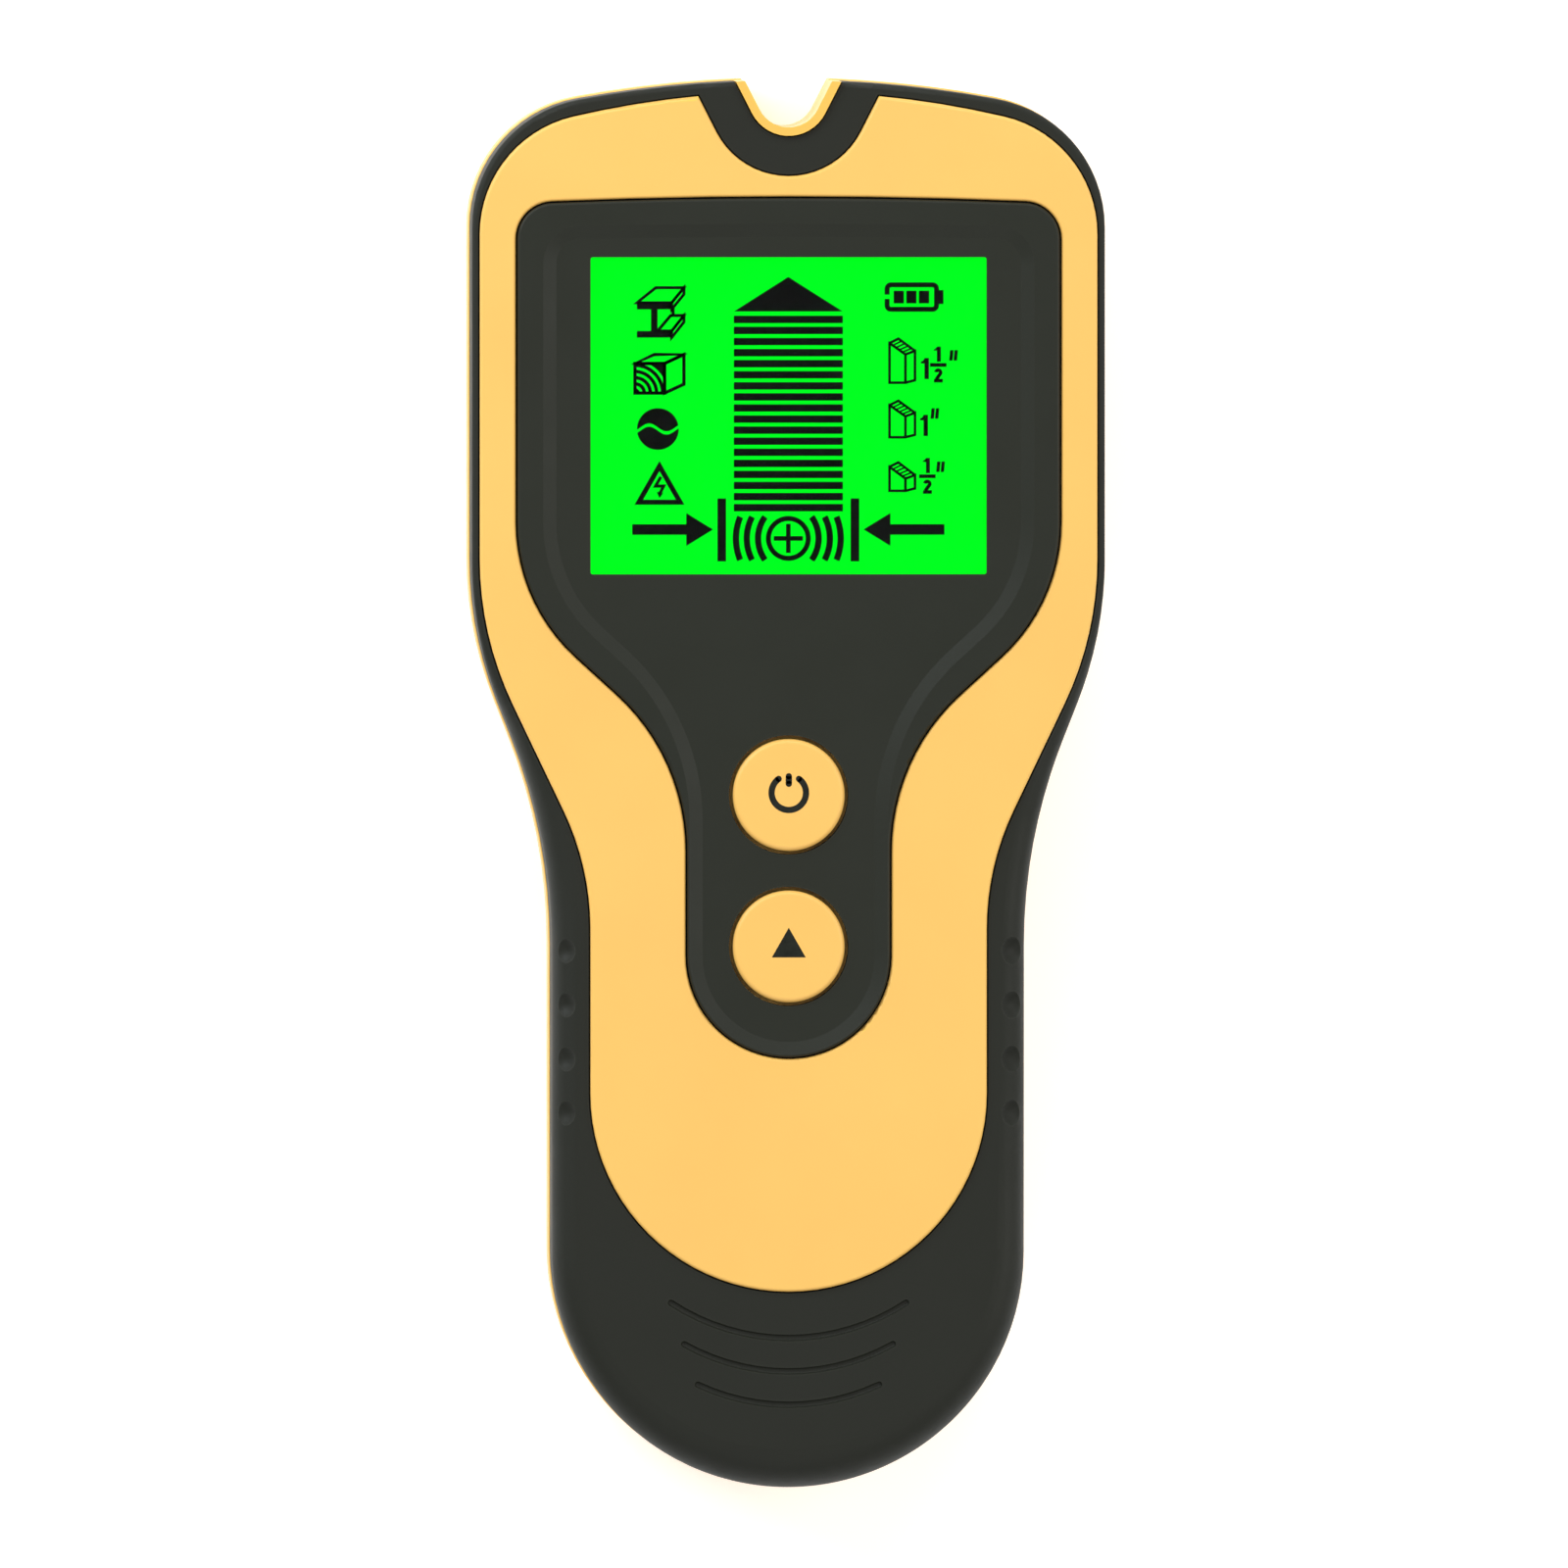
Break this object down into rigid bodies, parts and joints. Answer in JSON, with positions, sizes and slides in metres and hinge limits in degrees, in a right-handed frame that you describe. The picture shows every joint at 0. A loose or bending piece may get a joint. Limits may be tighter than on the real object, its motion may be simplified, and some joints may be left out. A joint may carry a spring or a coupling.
{
  "type": "stud finder",
  "caption": "Hand-held stud finder with a wide sensing head, marking notch, display window, two press buttons, a slim grip and a sliding battery door in its flat back.",
  "frame": {"origin": "middle of the outline on the plane that the glide pads rest on", "axes": "+Z out of the front face with the display, +Y to the head with the marking notch, +X to the right as the display is read"},
  "size_m": [0.0676, 0.1499, 0.027],
  "materials": {
    "yellow_shell": "glossy yellow moulded plastic",
    "yellow_panel": "satin yellow moulded plastic",
    "yellow_button": "satin yellow moulded plastic",
    "dark_shell": "matt soft-touch charcoal plastic",
    "dark_fascia": "satin charcoal plastic",
    "clear_lens": "clear acrylic",
    "lcd": "green backlit display",
    "white_plastic": "white moulded plastic",
    "diffuser": "milky light guide",
    "elastomer": "layered conductive elastomer",
    "board": "green solder mask on glass laminate",
    "copper": "bare copper",
    "gold_pin": "gold-plated pins",
    "black_plastic": "black moulded plastic",
    "aluminium_can": "aluminium cans",
    "battery_jacket": "plain printed steel jacket",
    "terminal": "nickel-plated terminals",
    "red_wire": "red wire insulation",
    "black_wire": "black wire insulation",
    "foam": "closed-cell foam",
    "screw_steel": "zinc-plated steel",
    "felt": "dark wool felt"
  },
  "bodies": {
    "case": {"front_shell": "dark_shell", "rear_shell": "yellow_shell", "face_panel": "yellow_panel", "display_fascia": "dark_fascia", "display_lens": "clear_lens", "lcd_glass": "lcd", "lcd_frame": "white_plastic", "backlight": "diffuser", "contact_strips": "elastomer", "main_board": "board", "sensor_board": "board", "sensor_plates": "copper", "metal_coil": "copper", "header_pins": "gold_pin", "header_block": "black_plastic", "controller_chip": "black_plastic", "buzzer": "black_plastic", "capacitors": "aluminium_can", "power_switch": "black_plastic", "mode_switch": "black_plastic", "battery": "battery_jacket", "battery_terminals": "terminal", "snap_connector": "black_plastic", "snap_contacts": "terminal", "red_lead": "red_wire", "black_lead": "black_wire", "battery_foam": "foam", "case_screws": "screw_steel", "board_screws": "screw_steel", "sensor_screws": "screw_steel", "glide_pads": "felt"},
    "power_key": {"power_button": "yellow_button", "power_plunger": "white_plastic"},
    "mode_key": {"mode_button": "yellow_button", "mode_plunger": "white_plastic"},
    "door": {"battery_door": "yellow_shell"}
  },
  "joints": [
    {"name": "power_press", "type": "slide", "parent": "case", "child": "power_key", "axis": [0, 0, -1], "range_m": [0, 0.00035], "stiffness_N_per_m": 2000, "springref_m": -0.0003},
    {"name": "mode_press", "type": "slide", "parent": "case", "child": "mode_key", "axis": [0, 0, -1], "range_m": [0, 0.00035], "stiffness_N_per_m": 2000, "springref_m": -0.0003},
    {"name": "door_slide", "type": "slide", "parent": "case", "child": "door", "axis": [0, -1, 0], "range_m": [0, 0.055]}
  ]
}
